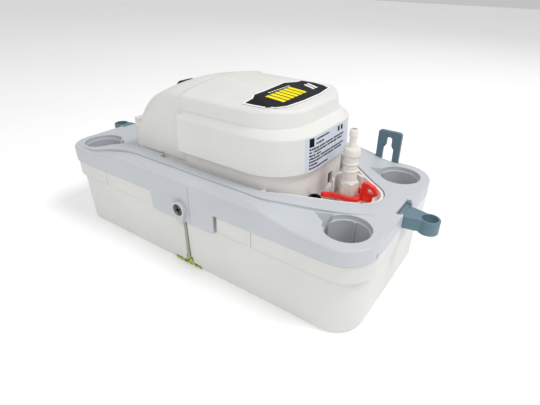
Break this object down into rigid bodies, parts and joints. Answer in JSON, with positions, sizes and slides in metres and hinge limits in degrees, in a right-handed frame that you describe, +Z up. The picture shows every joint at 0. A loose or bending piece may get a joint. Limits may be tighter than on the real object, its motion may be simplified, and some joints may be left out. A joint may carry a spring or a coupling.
{
  "type": "condensate pump",
  "caption": "Tank-type condensate pump: tray tank with arched lid and inlet ports, covered motor, float switch and a barbed discharge outlet held by a pull clip.",
  "frame": {"origin": "centre of the tank's flat underside, under the centre of the lid", "axes": "+X along the length towards the discharge outlet, +Y towards the wall that the keyhole hangers meet, +Z up"},
  "size_m": [0.3232, 0.1438, 0.1333],
  "materials": {
    "housing_white": "smooth moulded, satin",
    "lid_white": "fine-grained moulded, matt",
    "cover_white": "fine-grained moulded, matt",
    "tray_white": "smooth moulded, matt",
    "gland_black": "matt",
    "label_dark": "printed film, satin",
    "label_pale": "printed film, satin",
    "vial_green": "glossy, clear",
    "stem_grey": "satin",
    "screw_dark": "dull black zinc",
    "screw_black": "black oxide",
    "lamination": "stacked laminations",
    "bobbin": "moulded nylon",
    "winding": "enamelled copper wire",
    "zinc_steel": "zinc plated",
    "bronze": "sintered",
    "pump_grey": "moulded",
    "valve_rubber": "matt",
    "shaft_steel": "ground",
    "float_foam": "closed-cell foam",
    "outlet_ivory": "moulded nylon, satin",
    "clip_red": "glossy",
    "bracket_slate": "satin"
  },
  "bodies": {
    "housing": {"tank": "housing_white", "lid": "lid_white", "motor_cover": "cover_white", "cover_cap": "cover_white", "pump_base": "tray_white", "end_grille": "cover_white", "cable_gland": "gland_black", "top_label": "label_dark", "rating_label": "label_pale", "level_vial": "vial_green", "level_stem": "stem_grey", "lid_screws": "screw_dark", "base_screws": "screw_black", "cover_screws": "screw_dark", "motor_screws": "screw_dark", "stator": "lamination", "coil_bobbin": "bobbin", "coil_winding": "winding", "lower_bearing_bracket": "zinc_steel", "upper_bearing_bracket": "zinc_steel", "shaft_bearings": "bronze", "terminal_block": "tray_white", "shaft_column": "pump_grey", "column_bush": "bronze", "pump_volute": "pump_grey", "volute_cover": "pump_grey", "discharge_pipe": "pump_grey", "valve_seat": "valve_rubber", "float_guide": "tray_white", "switch_bracket": "zinc_steel", "rocker_pin": "shaft_steel", "run_switch": "gland_black", "alarm_switch": "gland_black"},
    "rotor": {"motor_rotor": "lamination", "motor_shaft": "shaft_steel", "cooling_fan": "pump_grey", "impeller": "pump_grey"},
    "float": {"float_body": "float_foam", "float_stem": "tray_white"},
    "rocker": {"switch_rocker": "bobbin"},
    "valve_ball": {"check_ball": "valve_rubber", "check_spring": "shaft_steel"},
    "outlet": {"outlet_adaptor": "outlet_ivory", "outlet_oring": "valve_rubber"},
    "clip": {"retaining_clip": "clip_red"},
    "bracket_right": {"ring_bracket_right": "bracket_slate"},
    "bracket_left": {"ring_bracket_left": "bracket_slate"},
    "hanger_right": {"keyhole_hanger_right": "bracket_slate"},
    "hanger_left": {"keyhole_hanger_left": "bracket_slate"}
  },
  "joints": [
    {"name": "rotor_spin", "type": "hinge", "parent": "housing", "child": "rotor", "pos_m": [0.02, 0, 0.096], "axis": [0, 0, 1], "continuous": true},
    {"name": "float_rise", "type": "slide", "parent": "housing", "child": "float", "axis": [0, 0, 1], "range_m": [0, 0.02]},
    {"name": "rocker_tilt", "type": "hinge", "parent": "housing", "child": "rocker", "pos_m": [-0.058, 0, 0.092], "axis": [0, -1, 0], "range_deg": [0, 90]},
    {"name": "valve_lift", "type": "slide", "parent": "housing", "child": "valve_ball", "axis": [0, 0, 1], "range_m": [0, 0.003], "stiffness_N_per_m": 20, "deforming": ["check_spring"]},
    {"name": "outlet_swivel", "type": "hinge", "parent": "housing", "child": "outlet", "pos_m": [0.0963, 0, 0.06], "axis": [0, 0, 1], "range_deg": [-90, 90]},
    {"name": "clip_pull", "type": "slide", "parent": "housing", "child": "clip", "axis": [1, 0, 0], "range_m": [0, 0.004]},
    {"name": "bracket_right_lift", "type": "slide", "parent": "housing", "child": "bracket_right", "axis": [0, 0, 1], "range_m": [0, 0.012]},
    {"name": "bracket_left_lift", "type": "slide", "parent": "housing", "child": "bracket_left", "axis": [0, 0, 1], "range_m": [0, 0.012]},
    {"name": "hanger_right_lift", "type": "slide", "parent": "housing", "child": "hanger_right", "axis": [0, 0, 1], "range_m": [0, 0.012]},
    {"name": "hanger_left_lift", "type": "slide", "parent": "housing", "child": "hanger_left", "axis": [0, 0, 1], "range_m": [0, 0.012]}
  ],
  "couplings": [
    {"joint": "rocker_tilt", "follows": "float_rise", "rad_per_m": 78.5}
  ]
}
